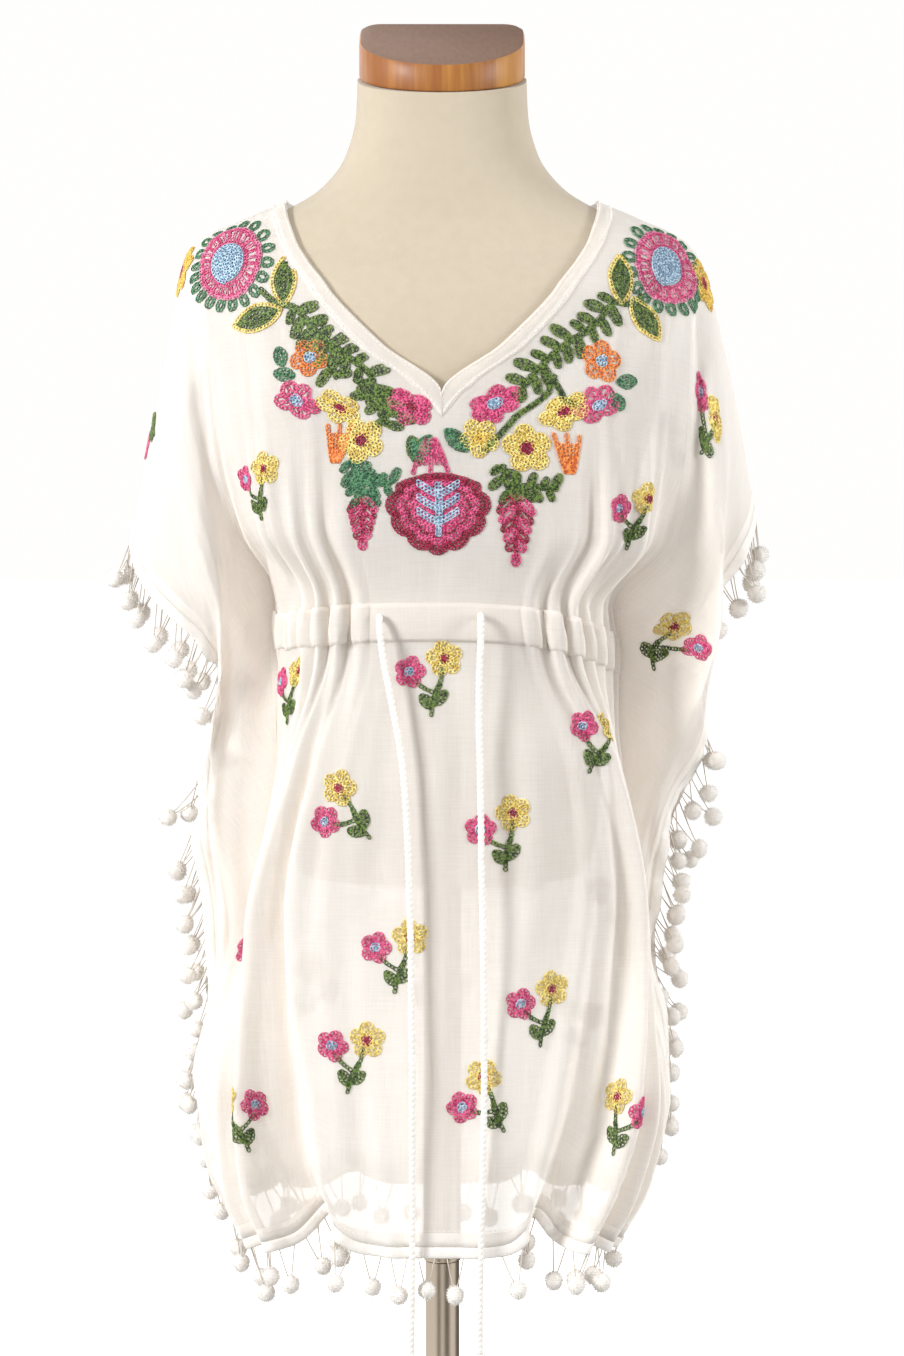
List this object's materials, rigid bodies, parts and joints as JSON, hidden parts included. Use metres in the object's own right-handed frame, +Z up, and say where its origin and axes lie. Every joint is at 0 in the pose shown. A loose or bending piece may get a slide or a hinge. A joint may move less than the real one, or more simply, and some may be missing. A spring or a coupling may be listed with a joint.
{
  "type": "short-sleeve blouse on a dress form with a stand",
  "caption": "Loose short-sleeve kaftan blouse with a V neck, drawstring waist and pompom trim, worn by a limbless dress form on a pole stand.",
  "frame": {"origin": "centre of the underside of the stand's base, on the floor", "axes": "+Z up the pole, the front of the blouse towards -Y, +X to the right of someone who faces the front"},
  "size_m": [0.3989, 0.3, 0.9974],
  "materials": {
    "cloth": "soft matt gauze",
    "trim": "matt braid with fluffy balls",
    "cord": "soft sheen, twisted",
    "jersey": "matt knit",
    "wood": "satin lacquer",
    "steel": "satin"
  },
  "bodies": {
    "root": {"back_casing": "cloth", "back_panel": "cloth", "back_pompom_braid": "trim", "drawstring_left": "cord", "drawstring_left_end": "cord", "drawstring_right": "cord", "drawstring_right_end": "cord", "dress_form": "jersey", "form_socket": "steel", "front_casing": "cloth", "front_panel": "cloth", "front_pompom_braid": "trim", "lower_pole": "steel", "neck_binding": "cloth", "neck_cap": "wood", "stand_base": "steel", "upper_pole": "steel"}
  },
  "joints": []
}
